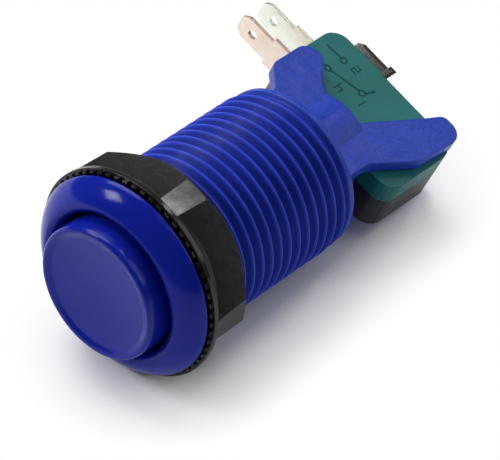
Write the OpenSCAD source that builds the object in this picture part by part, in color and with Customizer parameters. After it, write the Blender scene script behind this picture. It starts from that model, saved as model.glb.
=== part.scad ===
// Arcade push button with a snap-action switch clipped between its rear wings.
// The origin is the centre of the bezel's seat on the panel, and +Z points to the player.

/* [Bezel] */
// Diameter of the bezel
bezel_d = 33.5; // [32:0.1:36]
// Height of the bezel's crown above the panel
bezel_h = 3.5; // [3:0.1:3.8]
// Straight edge of the bezel above the panel
bezel_edge_h = 0.3; // [0.2:0.1:0.6]
// Diameter of the circle that the crown's top follows
crown_d = 26.4; // [26:0.1:27.4]
// Flatness of the crown's outer slope, 1 for a full ellipse
crown_flatness = 1.48; // [1:0.02:1.6]
// Depth of the rounded lip at the plunger's opening
lip_drop = 1.2; // [0.8:0.1:1.6]

/* [Barrel] */
// Length of the barrel behind the panel seat
barrel_len = 37.5; // [36.6:0.1:39]
// Diameter over the thread's crests
thread_d = 28; // [27.4:0.1:28.4]
// Distance from one crest to the next
thread_pitch = 2.1; // [1.9:0.05:2.4]
// Depth of the thread
thread_depth = 0.75; // [0.5:0.05:0.9]
// Depth of the first crest behind the panel seat
thread_start = 2.95; // [2.5:0.05:3.5]
// Length of the plain rim behind the thread
rim_len = 1.6; // [1.2:0.1:2.4]
// Diameter of the plunger's bore
bore_d = 24; // [23.6:0.1:24.4]
// Depth of the web that carries the return spring
web_depth = 24; // [23:0.1:25]
// Thickness of the web
web_t = 1.6; // [1.2:0.1:2]
// Outer diameter of the tube around the stem
tube_d = 16.8; // [16:0.1:17.2]
// Wall of that tube
tube_wall = 1.5; // [1:0.1:2]

/* [Wings] */
// Thickness of the wing plates
wing_t = 2.2; // [1.6:0.1:2.6]
// Radius of the rounded wing tips
wing_tip_r = 2.5; // [2.2:0.1:2.8]
// Half width of the plates where they leave the barrel
wing_root_w = 9.3; // [8.8:0.1:9.8]
// Diameter of the pegs that hold the switch
peg_d = 3; // [2.6:0.1:3.2]
// Length of the pegs
peg_len = 2.2; // [1.4:0.1:2.8]
// How far the tube's crown reaches over the switch
crown_reach = 3; // [1:0.1:3.6]

/* [Plunger] */
// Diameter of the plunger's cap
plunger_d = 22.4; // [21.8:0.1:23]
// Height of the plunger's rim above the panel
plunger_rise = 6.45; // [6:0.05:6.8]
// Depth of the finger dish at its centre
dish_depth = 1; // [0.6:0.1:1.4]
// Diameter of the dish's floor
dish_d = 18.4; // [17.6:0.1:19]
// Rise of the dish's floor from its centre to its edge
dish_rise = 0.5; // [0.2:0.1:0.8]
// Radius of the plunger's rounded rim
rim_r = 0.65; // [0.4:0.05:0.8]
// Wall of the plunger
plunger_wall = 1.4; // [1:0.1:1.8]
// Travel of the plunger
travel = 3; // [2.4:0.1:3]
// Diameter of the stem
stem_d = 6; // [5:0.1:7]
// Gap between the plunger's collar and its bore
guide_clear = 0.06; // [0.03:0.01:0.09]
// Length of the guide collar
collar_len = 4; // [3:0.1:6]
// Width of the snap legs
leg_w = 4.4; // [3.4:0.1:5.2]
// Bottom of the spring's hub below the panel
hub_depth = 11; // [9:0.1:13]
// Diameter of the hub
hub_d = 12.4; // [12:0.1:13]

/* [Return spring] */
// Mean diameter of the coil
spring_d = 9.6; // [9:0.1:10.4]
// Diameter of the wire
wire_d = 0.7; // [0.5:0.05:0.9]
// Number of turns
spring_turns = 6.5; // [5:0.5:8]

/* [Nut] */
// Diameter of the nut's flange
flange_d = 35.1; // [34.8:0.1:36]
// Straight edge of the flange
flange_t = 0.75; // [0.5:0.05:1]
// Length of the slope behind the flange
flange_back = 2.6; // [2:0.1:3]
// Number of wide flats
nut_flats = 5; // [5:1:6]
// Distance from the axis to a wide flat
flat_r = 15.1; // [14.9:0.05:15.6]
// Distance from the axis to a corner facet at the flange
corner_r = 17.35; // [17:0.05:17.4]
// How far the corner facets lean in toward the nut's back
corner_taper = 0.35; // [0:0.05:0.6]
// Turn of the nut about its axis
nut_turn = 18; // [0:1:72]
// Height of the nut's body
nut_h = 9.65; // [8:0.05:10]
// Distance that the back's chamfer comes in behind the flats
nut_chamfer = 0.3; // [0:0.05:0.6]
// Gap between the nut's teeth and the bezel
nut_gap = 0.35; // [0.3:0.05:1]
// Number of teeth on the nut's face
teeth = 62; // [40:1:80]
// Height of the teeth
tooth_h = 0.45; // [0.3:0.05:0.7]
// Radial length of the teeth
tooth_len = 0.7; // [0.5:0.1:1.2]
// Gap between the thread's crests and the nut
nut_clear = 0.06; // [0.03:0.01:0.09]

/* [Switch] */
// Length of the switch
switch_l = 27.8; // [27:0.1:28.4]
// Depth of the switch from front to rear
switch_w = 15.9; // [15.5:0.1:16.4]
// Thickness of the switch
switch_t = 10.3; // [10:0.1:10.6]
// Side step of the switch from the plunger's axis
switch_shift = 0.4; // [0:0.1:0.8]
// Gap between the barrel and the switch
switch_gap = 7; // [6.4:0.1:7.4]
// Corner radius of the switch
switch_corner = 3; // [2:0.1:3.4]
// Height of the cover
cover_h = 3.85; // [3.4:0.05:3.9]
// Wall of the switch
switch_wall = 1.5; // [1.2:0.1:1.7]
// Inset of the mounting holes from the ends
hole_inset = 2.8; // [2.6:0.1:3]
// Diameter of the mounting holes
hole_d = 3.1; // [3:0.05:3.4]
// Gap between a wing and the switch
wing_clear = 0.05; // [0.02:0.01:0.1]

/* [Terminals] */
// Width of a tab
tab_w = 4.75; // [4.5:0.05:5]
// Thickness of a tab
tab_t = 0.6; // [0.5:0.05:0.8]
// Width of a tab's shoulder
shoulder_w = 6.3; // [5.6:0.1:6.6]
// Reach of a side tab beyond the switch
tab_reach = 11.1; // [9:0.1:12]
// Reach of its shoulder
shoulder_reach = 4.4; // [2.6:0.1:5]
// Diameter of the hole in a tab
tab_hole_d = 1.7; // [1.4:0.1:2]
// Distance from a tab's tip to its hole
tab_hole_inset = 3; // [2.6:0.1:3.4]
// Width of the strips inside the switch
strip_w = 4; // [3.2:0.1:4.4]
// Depth of the closed-side tab behind the switch's front
closed_tab_z = 6.8; // [6.4:0.1:7.2]
// Distance between the two side tabs
tab_spacing = 5.1; // [4.8:0.1:5.4]
// Stand-off of the common tab behind the switch
common_gap = 4; // [3.4:0.1:4.6]
// Place of the common tab's root along the switch
common_x = -2.5; // [-3.5:0.1:-1.5]
// Length of the common tab
common_len = 8; // [7:0.1:9]

/* [Snap action] */
// Travel of the actuator
actuator_travel = 2.2; // [1.6:0.1:2.3]
// Free play between the stem and the actuator
free_play = 0.8; // [0.4:0.1:1.2]
// Width of the actuator
actuator_w = 3.2; // [2.6:0.1:3.6]
// Thickness of the actuator
actuator_t = 2.2; // [1.8:0.1:2.4]
// Diameter of the contacts
contact_d = 3.2; // [2.4:0.1:3.6]
// Thickness of a fixed contact
contact_t = 0.9; // [0.6:0.05:1]
// Gap between the open contacts
contact_gap = 0.8; // [0.5:0.05:1.1]
// Thickness of the contact arm
arm_t = 0.3; // [0.2:0.05:0.4]
// Width of the contact arm
arm_w = 3.6; // [2.6:0.1:4]
// Distance of the arm's pivot from the plunger's axis
pivot_x = 6.5; // [5.5:0.1:7]
// Radius of the ridge that the arm rocks on
ridge_r = 0.4; // [0.3:0.05:0.5]
// Diameter of the moving contact's rivet
rivet_d = 1.6; // [1.2:0.1:1.8]
// Half length of the snap spring
snap_half = 4.6; // [4:0.1:4.8]
// Width of the snap spring
snap_w = 1.8; // [1.4:0.1:2]
// Thickness of the snap spring
snap_t = 0.2; // [0.15:0.05:0.3]

/* [Hidden] */
$fn = 96;

touch = 0.03;
stop_gap = 0.1;
slot_clear = 0.05;
lip = 0.01;

bezel_r = bezel_d / 2;
crown_r = crown_d / 2;
bore_r = bore_d / 2;
crest_r = thread_d / 2;
root_r = crest_r - thread_depth;
tube_r = tube_d / 2;
tube_bore_r = tube_r - tube_wall;
rear_z = -barrel_len;
web_z = -web_depth;
web_back_z = web_z - web_t;
crests = floor((barrel_len - rim_len - thread_start) / thread_pitch) + 1;

// The switch's box in the button's frame
front_z = rear_z - switch_gap;
back_z = front_z - switch_w;
left_x = switch_shift - switch_l / 2;
right_x = switch_shift + switch_l / 2;
half_t = switch_t / 2;
split_y = half_t - cover_h;
front_hole = [left_x + hole_inset, front_z - hole_inset];
rear_hole = [right_x - hole_inset, back_z + hole_inset];
hole_boss_r = hole_d / 2 + 1.15;
grip_w = 3;

// Plunger levels
skirt_z = web_z + travel + stop_gap;
tip_z = front_z + actuator_travel + (plunger_end_gap());
stem_z = tip_z + free_play;
leg_out = plunger_d / 2;
leg_in = leg_out - plunger_wall;
hook_in = leg_in - 0.9;
hook_len = 1.6;
window_clear = 0.25;

// Contact levels
closed_z = front_z - closed_tab_z;
open_z = closed_z - tab_spacing;
closed_face_z = closed_z - tab_t / 2 - contact_t;
open_face_z = open_z + tab_t / 2 + contact_t;
contact_x = left_x + 5.2;
arm_z = (closed_face_z - touch + open_face_z + contact_gap) / 2;
moving_t = closed_face_z - touch - open_face_z - contact_gap;
common_z = back_z - common_gap;
inner_z = back_z + switch_wall + tab_t / 2 + slot_clear;

// Height that the stem keeps above the switch at the end of its travel
function plunger_end_gap() = travel - free_play - actuator_travel + 0.5;

// Points of an elliptical arc about c, from angle a to angle b
function arc(c, rx, ry, a, b, n) =
    [for (i = [0:n]) let (t = a + (b - a) * i / n) [c[0] + rx * cos(t), c[1] + ry * sin(t)]];

// Unit vector from p to q
function toward(p, q) = (q - p) / norm(q - p);

// Arc of radius r that rounds the corner q between p and s
function corner_arc(p, q, s, r, n = 6) =
    let (
        u = toward(q, p),
        v = toward(q, s),
        half = acos(u * v) / 2,
        mid = (u + v) / norm(u + v),
        c = q + mid * r / sin(half),
        start = q + u * r / tan(half) - c,
        stop = q + v * r / tan(half) - c
    )
    [for (i = [0:n])
        let (w = start * (1 - i / n) + stop * (i / n)) c + w * r / norm(w)];

// Outline through points [x, y, r], each corner rounded by its own radius
function rounded(pts) =
    let (n = len(pts), xy = [for (p = pts) [p[0], p[1]]])
    [for (i = [0:n - 1])
        each (pts[i][2] == 0 ? [xy[i]]
              : corner_arc(xy[(i + n - 1) % n], xy[i], xy[(i + 1) % n], pts[i][2]))];

// Flat shape drawn in X and Z, from y0 to y1
module slab(y0, y1) {
    translate([0, y1, 0]) rotate([90, 0, 0]) linear_extrude(y1 - y0) children();
}

// Ring about the Z axis
module ring(r_out, r_in, z0, z1) {
    translate([0, 0, z0]) difference() {
        cylinder(r = r_out, h = z1 - z0);
        translate([0, 0, -1]) cylinder(r = r_in, h = z1 - z0 + 2);
    }
}

// Box from one corner to the other
module block(low, high) {
    translate(low) cube(high - low);
}

// Outline of the bezel and the threaded barrel, from the lip round to the bore's end
function shell_profile() = concat(
    arc([crown_r, bezel_h - lip_drop], crown_r - bore_r, lip_drop, 180, 90, 8),
    [for (i = [1:12])
        [crown_r + (bezel_r - crown_r) * pow(sin(7.5 * i), crown_flatness),
         bezel_edge_h + (bezel_h - bezel_edge_h) * pow(cos(7.5 * i), crown_flatness)]],
    [[bezel_r, 0], [root_r, 0]],
    [for (i = [0:crests - 1]) let (z = -thread_start - i * thread_pitch) each ridge(z)],
    [[root_r, rear_z + rim_len], [crest_r - 0.3, rear_z + rim_len - 0.4],
     [crest_r - 0.3, rear_z + 0.3], [crest_r - 0.6, rear_z], [bore_r, rear_z]]
);

// One rounded ridge of the thread, centred at depth z
function ridge(z) =
    let (foot = 0.46 * thread_pitch, brow = 0.13 * thread_pitch, top = 0.05 * thread_pitch)
    [[root_r, z + foot], [crest_r - 0.12, z + brow], [crest_r, z + top],
     [crest_r, z - top], [crest_r - 0.12, z - brow], [root_r, z - foot]];

// Outline of one wing plate in X and Z: a short left wing and a long right one
function plate_outline() = [
    for (p = let (root_w = bore_r - 2) rounded([
        [-root_w, rear_z + 6, 0],
        [-root_w, rear_z + 0.4, 0],
        [-wing_root_w, rear_z, 0],
        [-wing_root_w - 0.4, rear_z - 3.2, 2],
        [left_x + 0.2, front_z + 0.8, 1.5],
        [left_x + 0.2, front_hole[1] - 4.6, wing_tip_r],
        [front_hole[0] + 0.9, front_hole[1] - 4.9, 1],
        [-6.2, front_z - 3.7, 1.5],
        [-4.6, front_z - crown_reach, 0],
        [2.4, front_z - crown_reach, 1],
        [rear_hole[0] - 3.6, rear_hole[1] - 0.8, 1.5],
        [rear_hole[0] - 2.1, rear_hole[1] - 4.1, 1.4],
        [rear_hole[0] + 2.4, rear_hole[1] - 4.1, wing_tip_r],
        [rear_hole[0] + 2.2, rear_hole[1] + 0.5, 3],
        [rear_hole[0] + 1.8, rear_hole[1] + 6, 3],
        [wing_root_w - 0.4, rear_z - 6, 3],
        [wing_root_w - 0.4, rear_z, 0],
        [root_w, rear_z + 0.4, 0],
        [root_w, rear_z + 6, 0]
    ])) p];

module wing_plate() {
    inner_y = half_t + wing_clear;
    slab(inner_y, inner_y + wing_t) polygon(plate_outline());
    for (h = [front_hole, rear_hole])
        translate([h[0], inner_y + lip, h[1]]) rotate([90, 0, 0])
            cylinder(d = peg_d, h = peg_len + lip);
}

// Tube around the stem, with a crown above and below the switch
module stem_tube() {
    ring(tube_r, tube_bore_r, front_z + 0.5, web_back_z + lip);
    difference() {
        ring(tube_r, tube_bore_r, front_z - crown_reach, front_z + 0.5 + lip);
        block([-tube_d, -half_t - wing_clear, front_z - crown_reach - 1],
              [tube_d, half_t + wing_clear, front_z + 0.5]);
    }
}

// Ribs that tie the tube to the barrel, out of the way of the snap legs
module barrel_ribs() {
    for (a = [90, 270])
        rotate([0, 0, a])
            block([tube_r - 0.2, -0.6, rear_z + 2], [bore_r + 0.2, 0.6, web_back_z + lip]);
}

module housing() {
    color([0.13, 0.15, 0.55]) {
        rotate_extrude() polygon(shell_profile());
        difference() {
            ring(bore_r + 0.2, stem_d / 2 + guide_clear, web_back_z, web_z);
            for (s = [-1, 1])
                scale([s, 1, 1])
                    block([leg_in - window_clear, -leg_w / 2 - window_clear, web_back_z - 1],
                          [leg_out + window_clear, leg_w / 2 + window_clear, web_z + 1]);
        }
        stem_tube();
        barrel_ribs();
        wing_plate();
        mirror([0, 1, 0]) wing_plate();
    }
}

// Section of the plunger's cap and skirt: dish, bank up to the rim, rounded rim, wall
function plunger_profile() =
    let (r = plunger_d / 2, in_r = r - plunger_wall, top = plunger_rise, n = 8,
         dish_r = dish_d / 2, bank = r - rim_r - dish_r, floor_z = top - dish_depth,
         slope = 2 * dish_rise / dish_r)
    concat(
        [for (i = [0:n]) [dish_r * i / n, floor_z + dish_rise * pow(i / n, 2)]],
        [for (i = [1:n - 1]) let (t = i / n)
            [dish_r + bank * t,
             floor_z + dish_rise + (dish_depth - dish_rise) * t * t * (3 - 2 * t)
             + slope * bank * t * (1 - t) * (1 - t)]],
        arc([r - rim_r, top - rim_r], rim_r, rim_r, 90, 0, n),
        [[r, skirt_z + collar_len + 0.5], [bore_r - guide_clear, skirt_z + collar_len],
         [bore_r - guide_clear, skirt_z + 0.3], [bore_r - guide_clear - 0.3, skirt_z],
         [in_r, skirt_z], [in_r, top - 3.4], [in_r - 0.8, top - 2.6], [0, top - 2.6]]
    );

module snap_leg() {
    hook_z = web_back_z - 0.05;
    slab(-leg_w / 2, leg_w / 2)
        polygon([[leg_out, skirt_z + 0.5], [leg_out, hook_z - hook_len],
                 [leg_in + 0.2, hook_z - hook_len], [hook_in, hook_z - 0.4],
                 [hook_in, hook_z], [leg_in, hook_z], [leg_in, skirt_z + 0.5]]);
}

module plunger() {
    color([0.15, 0.18, 0.6]) {
        rotate_extrude() polygon(plunger_profile());
        ring(hub_d / 2, stem_d / 2, -hub_depth, plunger_rise - 2.5);
        translate([0, 0, stem_z + 0.6]) cylinder(d = stem_d, h = plunger_rise - 2.5 - stem_z - 0.6);
        translate([0, 0, stem_z]) cylinder(d1 = stem_d - 1.2, d2 = stem_d, h = 0.6 + lip);
        for (s = [0, 180]) rotate([0, 0, s]) snap_leg();
    }
}

// Round wire swept along a helix whose end turns are closed up
module return_spring() {
    sides = 8;
    steps = 14;
    n = round(spring_turns * steps);
    low = web_z + wire_d / 2 + touch;
    high = -hub_depth - wire_d / 2 - touch;
    rise = high - low - 2 * wire_d;
    function lift(t) =
        t < 1 ? wire_d * t
        : t > spring_turns - 1 ? wire_d * (1 + t - spring_turns + 1) + rise
        : wire_d + rise * (t - 1) / (spring_turns - 2);
    points = [for (i = [0:n], k = [0:sides - 1])
        let (t = i / steps, a = 360 * t, b = 360 * k / sides,
             r = spring_d / 2 + wire_d / 2 * cos(b))
        [r * cos(a), r * sin(a), low + lift(t) + wire_d / 2 * sin(b)]];
    faces = concat(
        [[for (k = [0:sides - 1]) k]],
        [for (i = [0:n - 1], k = [0:sides - 1])
            let (j = (k + 1) % sides)
            [i * sides + k, (i + 1) * sides + k, (i + 1) * sides + j, i * sides + j]],
        [[for (k = [sides - 1:-1:0]) n * sides + k]]
    );
    color("silver") polyhedron(points, faces);
}

// Body of the nut from its back plane up: wide flats, leaning corner facets, chamfered back
module nut_body() {
    side = 360 / nut_flats;
    back_r = corner_r - corner_taper;
    chamfer_r = flat_r - nut_chamfer;
    intersection() {
        linear_extrude(nut_h) circle(r = flat_r / cos(side / 2), $fn = nut_flats);
        rotate([0, 0, side / 2])
            linear_extrude(nut_h, scale = corner_r / back_r)
                circle(r = back_r / cos(side / 2), $fn = nut_flats);
        cylinder(r1 = chamfer_r, r2 = chamfer_r + nut_h + 1, h = nut_h + 1);
    }
}

module mounting_nut() {
    tip = -nut_gap;
    face_z = tip - tooth_h;
    flange_r = flange_d / 2;
    tooth_r = flange_r - 0.4;
    tooth_w = PI * tooth_r / teeth;
    bore = crest_r + nut_clear;
    color([0.12, 0.12, 0.12]) difference() {
        union() {
            translate([0, 0, face_z - nut_h]) rotate([0, 0, nut_turn]) nut_body();
            translate([0, 0, face_z - flange_t]) cylinder(r = flange_r, h = flange_t);
            translate([0, 0, face_z - flange_t - flange_back])
                cylinder(r1 = flat_r, r2 = flange_r - 0.1, h = flange_back + lip);
            for (i = [0:teeth - 1])
                rotate([0, 0, 360 * i / teeth])
                    block([tooth_r - tooth_len, -tooth_w / 2, face_z - lip],
                          [tooth_r, tooth_w / 2, tip]);
        }
        translate([0, 0, face_z - nut_h - 1]) cylinder(r = bore, h = nut_h + tooth_h + 2);
        translate([0, 0, face_z - 0.5]) cylinder(r1 = bore, r2 = bore + 0.7, h = 0.5 + lip);
        translate([0, 0, face_z - nut_h - lip])
            cylinder(r1 = bore + 0.35, r2 = bore, h = 0.35);
    }
}

// Outline of the switch, drawn in by d all round
function switch_outline(d) =
    let (r = max(switch_corner - d, 0.4))
    rounded([[left_x + d, back_z + d, r], [right_x - d, back_z + d, r],
             [right_x - d, front_z - d, r], [left_x + d, front_z - d, r]]);

module switch_holes() {
    for (h = [front_hole, rear_hole])
        translate([h[0], 20, h[1]]) rotate([90, 0, 0]) cylinder(d = hole_d, h = 40);
}

// Hollow of the switch in X and Z, round the bosses of the mounting holes
module chamber() {
    difference() {
        polygon(switch_outline(switch_wall));
        for (h = [front_hole, rear_hole]) translate(h) circle(r = hole_boss_r);
        // Block that grips the side tabs
        translate([left_x, back_z]) square([grip_w, switch_w]);
    }
}

// Room for the terminals and the actuator in the switch's walls
module switch_slots() {
    for (z = [closed_z, open_z])
        block([left_x - 1, -shoulder_w / 2 - slot_clear, z - tab_t / 2 - slot_clear],
              [left_x + grip_w + 1, shoulder_w / 2 + slot_clear, z + tab_t / 2 + slot_clear]);
    block([common_x - tab_t / 2 - slot_clear, -shoulder_w / 2 - slot_clear, back_z - 1],
          [common_x + tab_t / 2 + slot_clear, shoulder_w / 2 + slot_clear,
           back_z + switch_wall + 1]);
    block([-actuator_w / 2 - slot_clear, -actuator_t / 2 - slot_clear, front_z - switch_wall - 1],
          [actuator_w / 2 + slot_clear, actuator_t / 2 + slot_clear, front_z + 1]);
}

module switch_base() {
    color([0.1, 0.1, 0.1]) difference() {
        slab(-half_t, split_y) polygon(switch_outline(0));
        slab(-half_t + switch_wall, split_y + 1) chamber();
        switch_holes();
        switch_slots();
    }
}

module switch_cover() {
    color([0.2, 0.44, 0.42]) difference() {
        slab(split_y, half_t) polygon(switch_outline(0));
        slab(split_y - 1, half_t - switch_wall) chamber();
        switch_holes();
        switch_slots();
    }
}

// Push pin: a crowned tip, a shank in the wall's slot and a wide foot inside
module switch_actuator() {
    wall_z = front_z - switch_wall;
    half_w = actuator_w / 2;
    color([0.55, 0.1, 0.08]) {
        slab(-actuator_t / 2, actuator_t / 2)
            polygon(rounded([[-half_w, tip_z, 0.8], [-half_w, wall_z - 0.5, 0],
                             [half_w, wall_z - 0.5, 0], [half_w, tip_z, 0.8]]));
        slab(-actuator_t / 2, actuator_t / 2)
            polygon(rounded([[-half_w - 0.9, wall_z - touch, 0.3], [-half_w - 0.9, wall_z - 1.3, 0.3],
                             [-half_w + 0.4, foot_z + 0.6, 0.3], [-half_w + 0.7, foot_z, 0.3],
                             [half_w - 0.7, foot_z, 0.3], [half_w - 0.4, foot_z + 0.6, 0.3],
                             [half_w + 0.9, wall_z - 1.3, 0.3],
                             [half_w + 0.9, wall_z - touch, 0.3]]));
    }
}

foot_z = arm_z + arm_t / 2 + actuator_travel + 0.8;

// Blade of a tab in the plane z = 0, its root at x = 0 and its tip at x = -reach
module tab(reach, shoulder, root) {
    t = tab_w / 2;
    s = shoulder_w / 2;
    difference() {
        linear_extrude(tab_t, center = true)
            polygon(rounded([[root, -s, 0], [-shoulder, -s, 0.3], [-shoulder, -t, 0],
                             [-reach + 1.3, -t, 0.8], [-reach, -t + 1, 0.5],
                             [-reach, t - 1, 0.5], [-reach + 1.3, t, 0.8],
                             [-shoulder, t, 0], [-shoulder, s, 0.3], [root, s, 0]]));
        translate([-reach + tab_hole_inset, 0, -1]) cylinder(d = tab_hole_d, h = 2);
    }
}

// Side terminal whose inner end carries a fixed contact
module side_terminal() {
    inner_reach = contact_x - left_x + contact_d / 2;
    tab(tab_reach, shoulder_reach, grip_w - 0.1);
    block([grip_w - 0.2, -strip_w / 2, -tab_t / 2], [inner_reach, strip_w / 2, tab_t / 2]);
}

module normally_closed_terminal() {
    color([0.82, 0.72, 0.58]) translate([left_x, 0, closed_z]) side_terminal();
}

module normally_open_terminal() {
    color([0.85, 0.83, 0.76]) translate([left_x, 0, open_z]) side_terminal();
}

// Bent strip: the tab behind the switch, its root, and the post with the arm's ridge
module common_terminal() {
    half_w = strip_w / 2;
    half_t = tab_t / 2;
    axis_z = arm_z - arm_t / 2 - touch - ridge_r;
    color([0.3, 0.22, 0.16]) {
        translate([common_x, 0, common_z]) tab(common_len, 1.2, half_t);
        block([common_x - half_t, -shoulder_w / 2, common_z - half_t],
              [common_x + half_t, shoulder_w / 2, inner_z + half_t]);
        block([common_x, -half_w, inner_z - half_t], [pivot_x + half_t, half_w, inner_z + half_t]);
        block([pivot_x - half_t, -half_w, inner_z], [pivot_x + half_t, half_w, axis_z]);
        translate([pivot_x, half_w, axis_z]) rotate([90, 0, 0]) cylinder(r = ridge_r, h = strip_w);
    }
}

module contact_disc(z0, z1) {
    translate([contact_x, 0, z0]) cylinder(d = contact_d, h = z1 - z0);
}

module normally_closed_contact() {
    color("silver") contact_disc(closed_face_z, closed_z - tab_t / 2);
}

module normally_open_contact() {
    color("silver") contact_disc(open_z + tab_t / 2, open_face_z);
}

// Blade with a round head for the contact and a slot for the snap spring's feet
module contact_arm() {
    color([0.78, 0.6, 0.35]) translate([0, 0, arm_z - arm_t / 2]) difference() {
        union() {
            linear_extrude(arm_t)
                polygon(rounded([[contact_x, -arm_w / 2, 0], [pivot_x, -arm_w / 2, 0.5],
                                 [pivot_x + 0.8, -arm_w / 2 + 0.8, 0.5],
                                 [pivot_x + 0.8, arm_w / 2 - 0.8, 0.5], [pivot_x, arm_w / 2, 0.5],
                                 [contact_x, arm_w / 2, 0]]));
            translate([contact_x, 0, 0]) cylinder(d = arm_w, h = arm_t);
        }
        translate([contact_x, 0, -1]) cylinder(d = rivet_d, h = 2);
        block([snap_half + 0.3, -snap_w / 2, -1], [snap_half + 0.9, snap_w / 2, 2]);
    }
}

// Rivet with a head on each side of the arm
module moving_contact() {
    half = moving_t / 2;
    color("silver") {
        contact_disc(arm_z + arm_t / 2, arm_z + half);
        contact_disc(arm_z - half, arm_z - arm_t / 2);
        translate([contact_x, 0, arm_z - half]) cylinder(d = rivet_d, h = moving_t);
    }
}

// Bowed leaf between the arm and the actuator's foot
module snap_spring() {
    low = arm_z + arm_t / 2 + touch;
    rise = foot_z - touch - low;
    sag_r = (snap_half * snap_half + rise * rise) / (2 * rise);
    reach = asin(snap_half / sag_r);
    centre = [0, low + rise - sag_r];
    color("silver") slab(-snap_w / 2, snap_w / 2)
        polygon(concat(arc(centre, sag_r, sag_r, 90 - reach, 90 + reach, 16),
                       arc(centre, sag_r - snap_t, sag_r - snap_t, 90 + reach * 0.96,
                           90 - reach * 0.96, 16)));
}

housing();
plunger();
return_spring();
mounting_nut();
switch_base();
switch_cover();
switch_actuator();
common_terminal();
normally_closed_terminal();
normally_open_terminal();
normally_closed_contact();
normally_open_contact();
contact_arm();
moving_contact();
snap_spring();
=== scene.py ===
from math import cos, hypot, radians, sin, tau

import bmesh
import bpy
from mathutils import Matrix, Vector

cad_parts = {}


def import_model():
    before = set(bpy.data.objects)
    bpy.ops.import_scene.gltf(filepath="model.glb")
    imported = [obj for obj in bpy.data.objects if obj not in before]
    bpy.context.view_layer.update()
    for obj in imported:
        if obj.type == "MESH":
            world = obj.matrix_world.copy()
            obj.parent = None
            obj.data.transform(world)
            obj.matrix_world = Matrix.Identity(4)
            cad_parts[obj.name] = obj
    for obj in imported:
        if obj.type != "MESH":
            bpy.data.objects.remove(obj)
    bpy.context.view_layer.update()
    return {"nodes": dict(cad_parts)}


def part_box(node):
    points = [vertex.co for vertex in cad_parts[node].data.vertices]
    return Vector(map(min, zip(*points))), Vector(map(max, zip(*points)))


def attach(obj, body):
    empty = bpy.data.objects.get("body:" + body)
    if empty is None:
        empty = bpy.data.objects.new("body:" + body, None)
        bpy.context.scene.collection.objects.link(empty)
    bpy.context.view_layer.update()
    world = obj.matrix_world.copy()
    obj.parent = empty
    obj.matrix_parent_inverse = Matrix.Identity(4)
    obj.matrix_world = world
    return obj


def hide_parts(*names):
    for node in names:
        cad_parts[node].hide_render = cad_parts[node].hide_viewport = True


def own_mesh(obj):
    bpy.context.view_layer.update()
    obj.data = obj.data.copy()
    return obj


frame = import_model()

MM = 0.001
NODES = frame["nodes"]

# Millimetres. The solids' thread: pitch, radii, and depths of its first and last crests
THREAD_PITCH = 2.1
THREAD_ROOT_R = 13.25
THREAD_CREST_R = 14.0
THREAD_START = 2.95
THREAD_END = 34.9
# The helical thread: its groove, how far it runs past both depths, and turns it fades over
GROOVE_R = 13.02
LEAD_IN = 0.9
LEAD_OUT = 0.75
FADE_TURNS = 0.4
THREAD_TURN = radians(74.0)
STEPS_PER_TURN = 96
# Heights along Z between which the barrel is threaded, and above which the bezel begins
THREAD_BACK = -THREAD_END - 1.1
THREAD_FRONT = -1.2
BEZEL_BACK = -0.6
# The symbol on the cover: width of its lines and numbers, its height and how far it sinks in
COVER_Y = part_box("switch_cover")[1].y / MM
LINE_WIDTH = 0.4
NUMBER_WIDTH = 0.28
MARK_HEIGHT = 0.06
MARK_SINK = 0.02
RING_R = 0.55
RING_POINTS = 16


# Nodes and materials

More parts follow.
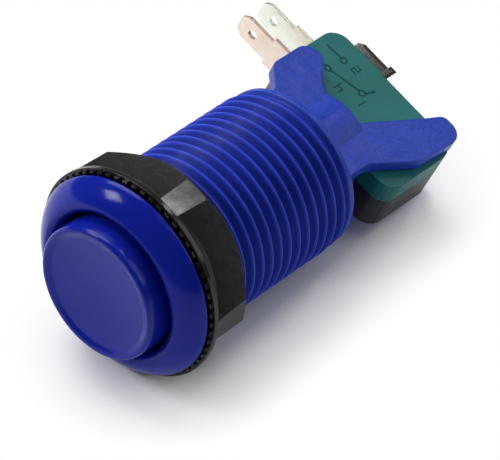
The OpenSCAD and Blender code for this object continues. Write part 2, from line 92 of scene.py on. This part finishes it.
class Nodes:
    """Builds the node tree of one material or world with short calls."""

    def __init__(self, owner, out="ShaderNodeOutputMaterial"):
        owner.use_nodes = True
        self.owner = owner
        self.tree = owner.node_tree
        self.tree.nodes.clear()
        self.out = self.add(out)

    def add(self, kind, inputs=(), **settings):
        """New node. Each input is a socket to link to, or a plain value."""
        node = self.tree.nodes.new(kind)
        for key, value in settings.items():
            setattr(node, key, value)
        for key, value in dict(inputs).items():
            self.put(value, node.inputs[key])
        return node

    def put(self, value, socket):
        if isinstance(value, bpy.types.NodeSocket):
            self.tree.links.new(value, socket)
        else:
            socket.default_value = value

    def finish(self, shader):
        self.put(shader.outputs[0], self.out.inputs["Surface"])
        return self.owner

    def place(self):
        return self.add("ShaderNodeTexCoord").outputs["Object"]

    def normal(self):
        return self.add("ShaderNodeNewGeometry").outputs["Normal"]

    def camera_ray(self):
        return self.add("ShaderNodeLightPath").outputs["Is Camera Ray"]

    def noise(self, scale, detail=3.0, roughness=0.5):
        node = self.add("ShaderNodeTexNoise", {
            "Vector": self.place(), "Scale": scale, "Detail": detail, "Roughness": roughness})
        return node.outputs["Fac"]

    def between(self, value, low, high, start=0.3, stop=0.7):
        """Low where the value is at start, high where it is at stop, and a ramp between."""
        node = self.add("ShaderNodeMapRange", {
            "Value": value, "From Min": start, "From Max": stop, "To Min": low, "To Max": high})
        return node.outputs["Result"]

    def math(self, operation, first, second=0.0):
        node = self.add("ShaderNodeMath", {0: first, 1: second}, operation=operation)
        return node.outputs["Value"]

    def length(self, vector, axes=(1, 1, 1)):
        """Length of a vector over the axes that are 1."""
        flat = self.add("ShaderNodeVectorMath", {0: vector, 1: axes}, operation="MULTIPLY")
        size = self.add("ShaderNodeVectorMath", {0: flat.outputs["Vector"]}, operation="LENGTH")
        return size.outputs["Value"]

    def mix(self, factor, first, second):
        """Mix of two colours, each a socket or an RGB triple."""
        node = self.add("ShaderNodeMix", {"Factor": factor}, data_type="RGBA")
        for name, value in (("A", first), ("B", second)):
            socket = next(s for s in node.inputs if s.name == name and s.type == "RGBA")
            self.put((*value, 1) if isinstance(value, tuple) else value, socket)
        return next(s for s in node.outputs if s.type == "RGBA")

    def blend(self, factor, first, second):
        """Mix of two shader nodes."""
        return self.add("ShaderNodeMixShader", {
            0: factor, 1: first.outputs[0], 2: second.outputs[0]})

    def bump(self, height, normal, strength, depth_mm):
        node = self.add("ShaderNodeBump", {
            "Height": height, "Normal": normal, "Strength": strength, "Distance": depth_mm * MM})
        return node.outputs["Normal"]


def scaled(colour, k):
    return tuple(min(1.0, c * k) for c in colour)


def edge_mask(n, radius):
    """1 along sharp edges and 0 on flat stretches, with the rounded normal."""
    rounded = n.add("ShaderNodeBevel", {"Radius": radius * MM}, samples=6).outputs["Normal"]
    dot = n.add("ShaderNodeVectorMath", {0: rounded, 1: n.normal()}, operation="DOT_PRODUCT")
    return n.between(dot.outputs["Value"], 1.0, 0.0, 0.8, 0.999), rounded


def plastic(name, colour, roughness, edge=0.25, grain=0.25, grain_mm=0.35, wear_and_edge_sheen=1.25, level=0.5,
            painted_groove_shade=None, worn=None, cloud_mm=8.3, cloud_share=0.07):
    """Moulded plastic: cloudy colour, paler edges as wear and as a painted edge highlight, fine
    moulded grain and uneven gloss.

    The groove shade is painted shade that darkens colour and gloss toward the Z axis: low radius,
    high radius, shade at the low one.
    worn roughens it toward the back: back height, front height, factor at the back.
    """
    n = Nodes(bpy.data.materials.new(name))
    mask, rounded = edge_mask(n, edge)
    cloud = n.between(n.noise(1 / (cloud_mm * MM), 4), 0, 1)
    base = n.mix(cloud, scaled(colour, 1 - cloud_share), scaled(colour, 1 + cloud_share))
    # Paler edges: wear, and a painted highlight along the rounded edges
    base = n.mix(n.between(mask, 0, 0.5, 0, 1), base, scaled(colour, wear_and_edge_sheen))
    # Painted shade in the grooves: colour and gloss darkened toward the axis
    if painted_groove_shade:
        low, high, dark = painted_groove_shade
        shade = n.between(n.length(n.place(), (1, 1, 0)), dark, 1.0, low * MM, high * MM)
        base = n.mix(shade, (0, 0, 0), base)
        level = n.math("MULTIPLY", shade, level)
    rough = n.between(n.noise(600, 3), roughness * 0.85, roughness * 1.15)
    if worn:
        back, front, factor = worn
        height = n.add("ShaderNodeSeparateXYZ", {0: n.place()}).outputs["Z"]
        fade = n.between(height, factor, 1.0, back * MM, front * MM)
        rough = n.math("MULTIPLY", rough, fade)
    grains = n.noise(1 / (grain_mm * MM), 2)
    return n.finish(n.add("ShaderNodeBsdfPrincipled", {
        "Base Color": base, "Roughness": rough, "Specular IOR Level": level,
        "Normal": n.bump(grains, rounded, grain, 0.02)}))


def metal(name, colour, roughness, stain, stain_share=0.5, cut_edge_and_shade=None):
    """Rolled or plated metal: rolling streaks, stains, rubbed edges, and the sides facing along Y
    darker as bare cut edge and painted shade.
    """
    n = Nodes(bpy.data.materials.new(name))
    mask, rounded = edge_mask(n, 0.08)
    patch = n.between(n.noise(260, 5, 0.6), 0, stain_share, 0.35, 0.65)
    base = n.mix(patch, colour, stain)
    base = n.mix(n.between(mask, 0, 0.5, 0, 1), base, scaled(colour, 1.2))
    # Sides facing along Y: bare cut edge with painted shade, near black on the tarnished plate
    if cut_edge_and_shade:
        off_y = n.length(n.normal(), (1, 0, 1))
        base = n.mix(n.between(off_y, 0, 1, 0.3, 0.8), cut_edge_and_shade, base)
    streaks = n.add("ShaderNodeMapping", {"Vector": n.place(), "Scale": (1, 1, 8)})
    lines = n.add("ShaderNodeTexNoise", {
        "Vector": streaks.outputs["Vector"], "Scale": 900}).outputs["Fac"]
    return n.finish(n.add("ShaderNodeBsdfPrincipled", {
        "Base Color": base, "Metallic": 1.0,
        "Roughness": n.between(lines, roughness * 0.8, roughness * 1.3),
        "Normal": n.bump(lines, rounded, 0.15, 0.01)}))


def dress(obj, material):
    obj.data.materials.clear()
    obj.data.materials.append(material)


BLUE = (0.005, 0.014, 0.29)
GREEN = (0.009, 0.14, 0.135)

MOULDED_BLUE = plastic("moulded_blue", (0.012, 0.042, 0.39), 0.36, edge=0.4, grain=1.0,
                       grain_mm=0.25, level=0.25, cloud_mm=0.4, cloud_share=0.22)
# The thread's blue is about twice the bezel's: painted highlight on the crests, with painted
# shade in the grooves
PAINTED_LIGHT_THREAD_BLUE = plastic("thread_blue_painted_light", (0.024, 0.058, 0.59), 0.42, edge=0.09, grain=0.25,
                      grain_mm=0.4, wear_and_edge_sheen=1.3, level=0.15, painted_groove_shade=(13.65, 13.99, 0.45))
BEZEL_BLUE = plastic("bezel_blue", BLUE, 0.14, edge=0.1, grain=0.1, grain_mm=0.8, level=0.14)
POLISHED_BLUE = plastic("polished_blue", BLUE, 0.17, edge=0.12, grain=0.1, grain_mm=0.8,
                        level=0.2)
NUT_BLACK = plastic("nut_black", (0.011, 0.010, 0.009), 0.18, edge=0.15, grain=0.3, grain_mm=0.6,
                    wear_and_edge_sheen=2.0, level=0.34, worn=(-9.5, -1.5, 1.7))
CASE_BLACK = plastic("case_black", (0.016, 0.016, 0.017), 0.42, edge=0.2, grain=0.4, grain_mm=0.4,
                     wear_and_edge_sheen=1.8)
CASE_GREEN = plastic("case_green", GREEN, 0.42, edge=0.3, grain=0.7, grain_mm=0.4, level=0.25)
# The raised marks are the cover's green darkened: painted shade on the relief
SHADED_MARK_GREEN = plastic("mark_green_painted_shade", scaled(GREEN, 0.55), 0.5, edge=0.03, level=0.15)
PIN_RED = plastic("pin_red", (0.3, 0.03, 0.02), 0.35, edge=0.15)
TIN = metal("tin_plate", (0.86, 0.88, 0.76), 0.36, (0.74, 0.75, 0.62), cut_edge_and_shade=(0.50, 0.48, 0.40))
WARM_TIN = metal("warm_tin_plate", (0.86, 0.74, 0.62), 0.36, (0.74, 0.58, 0.46),
                 cut_edge_and_shade=(0.36, 0.27, 0.22))
TARNISHED = metal("tarnished_plate", (0.97, 0.96, 0.94), 0.2, (0.88, 0.85, 0.80),
                  cut_edge_and_shade=(0.03, 0.02, 0.015))
BRASS = metal("arm_brass", (0.75, 0.52, 0.25), 0.28, (0.6, 0.38, 0.16))
SILVER = metal("contact_silver", (0.82, 0.81, 0.78), 0.22, (0.6, 0.58, 0.54))
WIRE = metal("spring_wire", (0.62, 0.62, 0.62), 0.25, (0.4, 0.38, 0.36), 0.3)

DRESSES = {
    "plunger": POLISHED_BLUE,
    "mounting_nut": NUT_BLACK,
    "switch_base": CASE_BLACK,
    "switch_cover": CASE_GREEN,
    "switch_actuator": PIN_RED,
    "common_terminal": TARNISHED,
    "normally_closed_terminal": WARM_TIN,
    "normally_open_terminal": TIN,
    "normally_closed_contact": SILVER,
    "normally_open_contact": SILVER,
    "contact_arm": BRASS,
    "moving_contact": SILVER,
}
for node_name, finish in DRESSES.items():
    dress(NODES[node_name], finish)


# Pieces that stand for solids or lie on them

def add_object(name, data):
    obj = bpy.data.objects.new(name, data)
    bpy.context.collection.objects.link(obj)
    return obj


def add_piece(name, bm, materials, sharp=22.0):
    """New mesh object on the button body: square faces flat, the rest smooth up to an angle."""
    mesh = bpy.data.meshes.new(name)
    bm.to_mesh(mesh)
    bm.free()
    for face in mesh.polygons:
        face.use_smooth = max(abs(c) for c in face.normal) < 0.9999
    # Normals brought along from a CAD mesh would hide the sharp edges
    if "custom_normal" in mesh.attributes:
        mesh.attributes.remove(mesh.attributes["custom_normal"])
    mesh.set_sharp_from_angle(angle=radians(sharp))
    obj = add_object(name, mesh)
    for material in materials:
        mesh.materials.append(material)
    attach(obj, "button")
    return obj


def ridge_section(height):
    """Section of the ridge as (place along the axis, radius) pairs: foot, flank, brow, crest."""
    rise = (THREAD_CREST_R - GROOVE_R) * height
    half = [(0.98, -0.05), (0.84, 0.07 * height), (0.22, 0.86 * rise), (0.08, rise)]
    return [(z, GROOVE_R + r) for z, r in half] + [(-z, GROOVE_R + r) for z, r in reversed(half)]


def add_thread(bm):
    """One right-handed ridge from behind the bezel to the plain rim, fading out at both ends."""
    first = THREAD_START - LEAD_IN
    turns = (THREAD_END + LEAD_OUT - first) / THREAD_PITCH
    rows = []
    for i in range(int(turns * STEPS_PER_TURN) + 1):
        turn = i / STEPS_PER_TURN
        z = -first - turn * THREAD_PITCH
        angle = THREAD_TURN + tau * (z + THREAD_START) / THREAD_PITCH
        height = max(0.02, min(1.0, turn / FADE_TURNS, (turns - turn) / FADE_TURNS))
        rows.append([bm.verts.new((r * cos(angle) * MM, r * sin(angle) * MM, (z + dz) * MM))
                     for dz, r in ridge_section(height)])
    new = [bm.faces.new(rows[0]), bm.faces.new(rows[-1])]
    for low, high in zip(rows, rows[1:]):
        new += [bm.faces.new((low[k], low[k + 1], high[k + 1], high[k]))
                for k in range(len(low) - 1)]
    bmesh.ops.recalc_face_normals(bm, faces=new)


def housing_moulding():
    """The housing with its row of ridges replaced by one helical thread."""
    bm = bmesh.new()
    bm.from_mesh(NODES["housing"].data)
    for v in bm.verts:
        r = hypot(v.co.x, v.co.y) / MM
        if THREAD_BACK < v.co.z / MM < THREAD_FRONT and r > THREAD_ROOT_R - 0.01:
            v.co.x *= GROOVE_R / r
            v.co.y *= GROOVE_R / r
    bmesh.ops.remove_doubles(bm, verts=bm.verts, dist=0.001 * MM)
    bmesh.ops.dissolve_degenerate(bm, edges=bm.edges, dist=0.001 * MM)
    add_thread(bm)
    for face in bm.faces:
        middle = face.calc_center_median() / MM
        if middle.z > BEZEL_BACK:
            face.material_index = 2
        elif middle.z > THREAD_BACK and hypot(*middle.xy) > GROOVE_R - 0.1:
            face.material_index = 1
    obj = add_piece("housing_moulding", bm, (MOULDED_BLUE, PAINTED_LIGHT_THREAD_BLUE, BEZEL_BLUE))
    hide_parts("housing")


def stroke(bm, points, width=LINE_WIDTH, closed=False):
    """Raised bar on the cover's face along a path of (x, z) points, mitred at its corners."""
    path = [Vector(p) for p in points]
    last = len(path) - 1
    rows = []
    for k, point in enumerate(path):
        come = (point - path[k - 1]).normalized() if closed or k > 0 else None
        go = (path[(k + 1) % len(path)] - point).normalized() if closed or k < last else None
        if come is None:
            point = point - go * width / 2
        if go is None:
            point = point + come * width / 2
        a, b = come or go, go or come
        side = Vector((-a.y - b.y, a.x + b.x))
        side *= width / 2 / side.dot(Vector((-a.y, a.x)))
        rows.append([bm.verts.new(((point + side * share).x * MM, y * MM,
                                   (point + side * share).y * MM))
                     for share, y in ((1, COVER_Y - MARK_SINK), (0.6, COVER_Y + MARK_HEIGHT),
                                      (-0.6, COVER_Y + MARK_HEIGHT), (-1, COVER_Y - MARK_SINK))])
    for first, second in zip(rows, rows[1:] + rows[:1] if closed else rows[1:]):
        for k in range(4):
            j = (k + 1) % 4
            bm.faces.new((first[k], first[j], second[j], second[k]))
    if not closed:
        bm.faces.new(rows[0])
        bm.faces.new(rows[-1])


def contact_symbol():
    """Raised change-over symbol on the cover, with plain numbers by its three contacts."""
    bm = bmesh.new()
    for x, z in ((-8.5, -53.1), (-8.1, -56.6), (-1.9, -54.6)):
        ring = [(x + RING_R * cos(tau * k / RING_POINTS), z + RING_R * sin(tau * k / RING_POINTS))
                for k in range(RING_POINTS)]
        stroke(bm, ring, closed=True)
    for line in (
            [(-11.6, -53.1), (-9.2, -53.1)],
            [(-11.6, -56.4), (-8.8, -56.6)],
            [(-7.8, -53.3), (-2.5, -54.5)],
            [(-1.5, -55.1), (-1.0, -56.6)]):
        stroke(bm, line)
    for line in (
            [(-0.5, -52.4), (-0.5, -53.8)],
            [(-6.2, -57.8), (-5.2, -57.8), (-5.2, -57.1), (-6.2, -57.1), (-6.2, -56.4),
             (-5.2, -56.4)],
            [(-4.2, -51.4), (-4.2, -52.2), (-5.2, -52.2)],
            [(-5.2, -51.4), (-5.2, -52.9)]):
        stroke(bm, line, NUMBER_WIDTH)
    bmesh.ops.recalc_face_normals(bm, faces=bm.faces)
    add_piece("contact_symbol", bm, (SHADED_MARK_GREEN,))


# node, joint that presses it, seated end along Z and stroke of the pressed end, in millimetres
SPRINGS = (
    ("return_spring", "plunger_slide", -24.0, 3.0),
    ("snap_spring", "actuator_slide", -53.315, 2.2),
)


def pressed_springs():
    """The springs as pieces of their own on the button body, in place of the CAD springs, which
    are hidden.
    """
    for node, joint, seat, travel in SPRINGS:
        bm = bmesh.new()
        bm.from_mesh(NODES[node].data)
        obj = add_piece(node + "_pressed", bm, (WIRE,), sharp=60.0)
        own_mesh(obj)
        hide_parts(node)


housing_moulding()
contact_symbol()
pressed_springs()


# Stage: the floor lies under the button, which rests on its side

OBJECT_MIDDLE = Vector((0, 0, -30 * MM))
FLOOR_UP = Vector((-0.370, 0.924, 0.092)).normalized()
FLOOR_DROP = 17.64 * MM
FLOOR_HALF = 2.5
# The floor turns from matt to plain white for the camera between these two distances
# from a line of this half length under the object
SHADOW_LINE = 22 * MM
SHADOW_NEAR = 9.5 * MM
SHADOW_FAR = 25 * MM
# Camera: its place and its axes in the object's frame
CAMERA_AT = Vector((123.257, 431.145, 315.244)) * MM
CAMERA_RIGHT = Vector((0.6713358, 0.33511429, -0.66106479))
CAMERA_DOWN = Vector((0.71054167, -0.54470213, 0.44545496))
CAMERA_AHEAD = Vector((-0.21080508, -0.76876394, -0.60379071))
# Lamps: name, direction from the object along the camera's right, down and ahead,
# distance and size in metres, and power
LAMPS = (
    ("key_softbox", (-0.80, -0.45, -0.40), 0.8, 0.2, 2.0),
    ("spark_lamp", (-0.80, -0.45, -0.40), 0.8, 0.05, 0.4),
    ("overhead_softbox", (-0.25, -0.95, -0.15), 1.0, 0.7, 8.3),
    ("back_softbox", (0.50, -0.84, -0.20), 0.6, 0.07, 0.25),
    ("face_softbox", (0.335, -0.545, -0.769), 0.9, 0.5, 0.5),
    ("right_softbox", (0.85, -0.45, -0.25), 0.9, 0.6, 1.8),
)


def pose(at, x, y, z):
    """Matrix that puts an object at a point, with these local axes."""
    return Matrix.Translation(at) @ Matrix((x, y, z)).transposed().to_4x4()


def floor_white():
    """White that keeps the object's shadow near it and is clear from below."""
    n = Nodes(bpy.data.materials.new("floor_white"))
    place = n.add("ShaderNodeSeparateXYZ", {0: n.place()}).outputs
    past_end = n.math("SUBTRACT", n.math("ABSOLUTE", place["Y"]), SHADOW_LINE)
    offset = n.add("ShaderNodeCombineXYZ", {"X": place["X"], "Y": n.math("MAXIMUM", past_end)})
    away = n.between(n.length(offset.outputs["Vector"]), 0.0, 1.0, SHADOW_NEAR, SHADOW_FAR)
    matt = n.add("ShaderNodeBsdfDiffuse", {"Color": (0.98, 0.98, 1.0, 1)})
    bright = n.add("ShaderNodeEmission")
    top = n.blend(n.math("MULTIPLY", away, n.camera_ray()), matt, bright)
    below = n.add("ShaderNodeNewGeometry").outputs["Backfacing"]
    return n.finish(n.blend(below, top, n.add("ShaderNodeBsdfTransparent")))


def floor():
    """Large square under the object, its local Y along the object's length."""
    h = FLOOR_HALF
    mesh = bpy.data.meshes.new("floor")
    mesh.from_pydata([(-h, -h, 0), (h, -h, 0), (h, h, 0), (-h, h, 0)], [], [(0, 1, 2, 3)])
    obj = add_object("floor", mesh)
    foot = OBJECT_MIDDLE - FLOOR_UP * (OBJECT_MIDDLE.dot(FLOOR_UP) + FLOOR_DROP)
    along = (Vector((0, 0, 1)) - FLOOR_UP * FLOOR_UP.z).normalized()
    obj.matrix_world = pose(foot, along.cross(FLOOR_UP), along, FLOOR_UP)
    dress(obj, floor_white())


def world():
    """Soft light all round, and plain white where the camera sees it."""
    n = Nodes(bpy.data.worlds.new("studio"), "ShaderNodeOutputWorld")
    soft = n.add("ShaderNodeBackground", {"Color": (0.93, 0.96, 1.0, 1), "Strength": 0.12})
    white = n.add("ShaderNodeBackground", {"Color": (1, 1, 1, 1)})
    bpy.context.scene.world = n.finish(n.blend(n.camera_ray(), soft, white))


def camera():
    data = bpy.data.cameras.new("camera")
    data.sensor_width = 36
    data.sensor_fit = "HORIZONTAL"
    data.lens = 262.8
    data.clip_start = 0.05
    data.clip_end = 20
    cam = add_object("camera", data)
    cam.matrix_world = pose(CAMERA_AT, CAMERA_RIGHT, -CAMERA_DOWN, -CAMERA_AHEAD)
    bpy.context.scene.camera = cam


def lights():
    """Square area lamps that face the object's middle."""
    for name, (right, down, ahead), distance, size, power in LAMPS:
        way = CAMERA_RIGHT * right + CAMERA_DOWN * down + CAMERA_AHEAD * ahead
        way.normalize()
        data = bpy.data.lights.new(name, "AREA")
        data.shape = "RECTANGLE"
        data.size = size
        data.size_y = size
        data.energy = power
        turn = way.to_track_quat("Z", "Y").to_matrix().to_4x4()
        add_object(name, data).matrix_world = (
            Matrix.Translation(way * distance + OBJECT_MIDDLE) @ turn)


floor()
world()
camera()
lights()

bpy.context.scene.view_settings.view_transform = "Standard"
